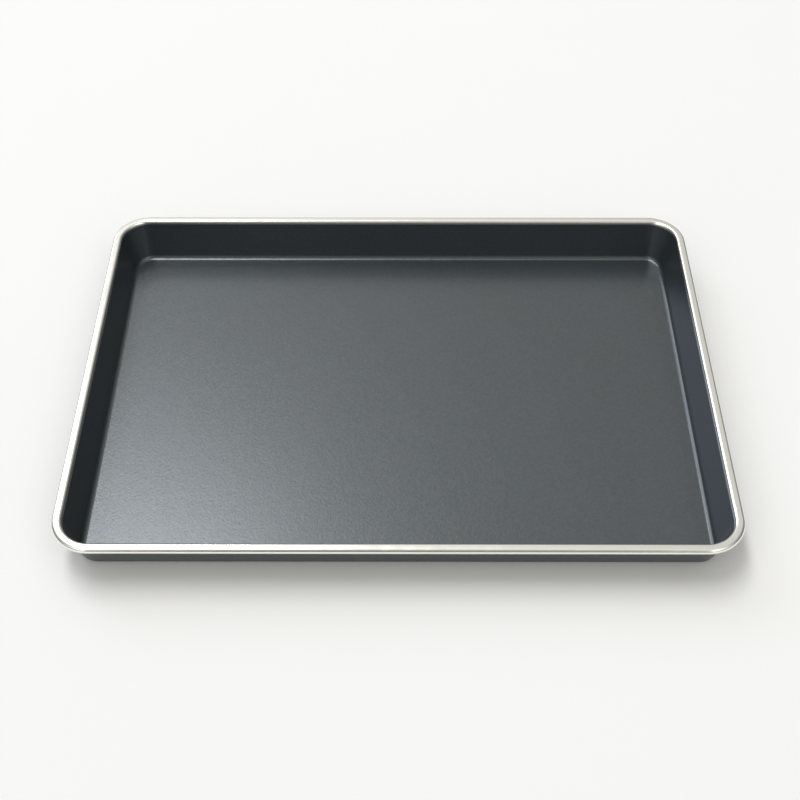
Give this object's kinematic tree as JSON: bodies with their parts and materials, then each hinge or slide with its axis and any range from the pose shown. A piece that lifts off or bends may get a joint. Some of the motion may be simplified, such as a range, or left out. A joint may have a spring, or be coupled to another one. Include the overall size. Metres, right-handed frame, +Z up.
{
  "type": "baking pan",
  "caption": "Shallow rectangular baking pan with leaning walls, round corners, a dark non-stick finish and a bright rolled metal rim.",
  "frame": {"origin": "under the middle of the base, on the surface that the pan stands on", "axes": "+X along the long side, +Y across the pan, +Z up out of it"},
  "size_m": [0.457, 0.33, 0.0335],
  "materials": {
    "nonstick_coated_steel": "satin, fine grain",
    "bright_rim_metal": "smooth, bright",
    "galvanised_wire": "dull"
  },
  "bodies": {
    "root": {"tray_shell": "nonstick_coated_steel", "rim_band": "bright_rim_metal", "rim_wire": "galvanised_wire"}
  },
  "joints": []
}
